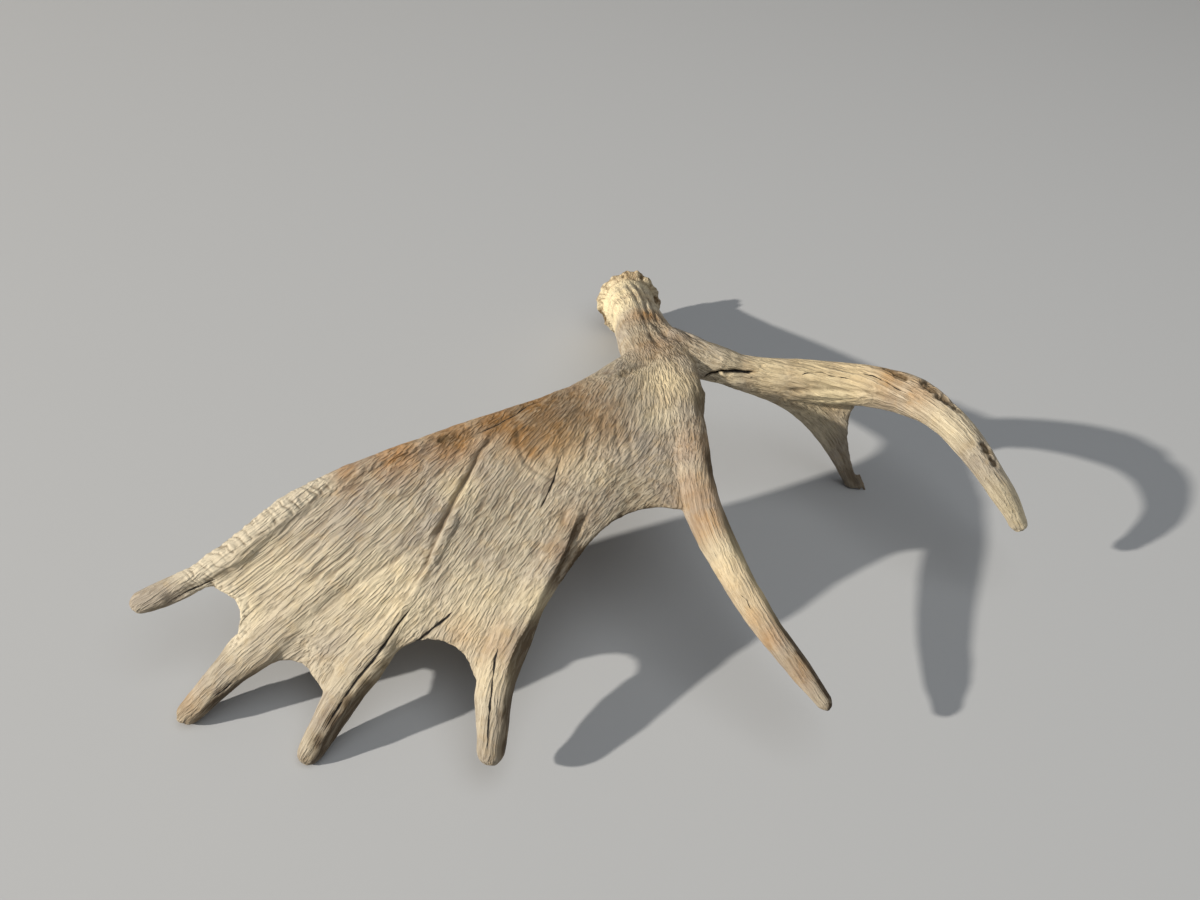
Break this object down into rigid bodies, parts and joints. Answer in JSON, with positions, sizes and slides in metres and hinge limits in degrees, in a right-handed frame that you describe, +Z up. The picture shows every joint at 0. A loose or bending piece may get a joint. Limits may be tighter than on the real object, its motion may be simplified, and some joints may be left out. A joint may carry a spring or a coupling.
{
  "type": "moose antler",
  "caption": "Shed palmate moose antler: burr and beam, wide bowed palm ending in blunt points, and a forked brow palm, weathered and gnawed at the edges.",
  "frame": {"origin": "centre of the bounding box, on the ground that the antler lies on", "axes": "+X along the antler's greatest length, from the palm's upper point towards the brow tine; +Y from the points towards the burr; +Z up from the ground"},
  "size_m": [0.8718, 0.6848, 0.1925],
  "materials": {
    "bone": "weathered grey-tan bone with fine lengthwise grain, orange-brown stains, dark drying cracks and pale gnawed edges"
  },
  "bodies": {
    "root": {"burr_and_beam": "bone", "palm": "bone", "long_point": "bone", "brow_palm": "bone", "brow_tine": "bone"}
  },
  "joints": []
}
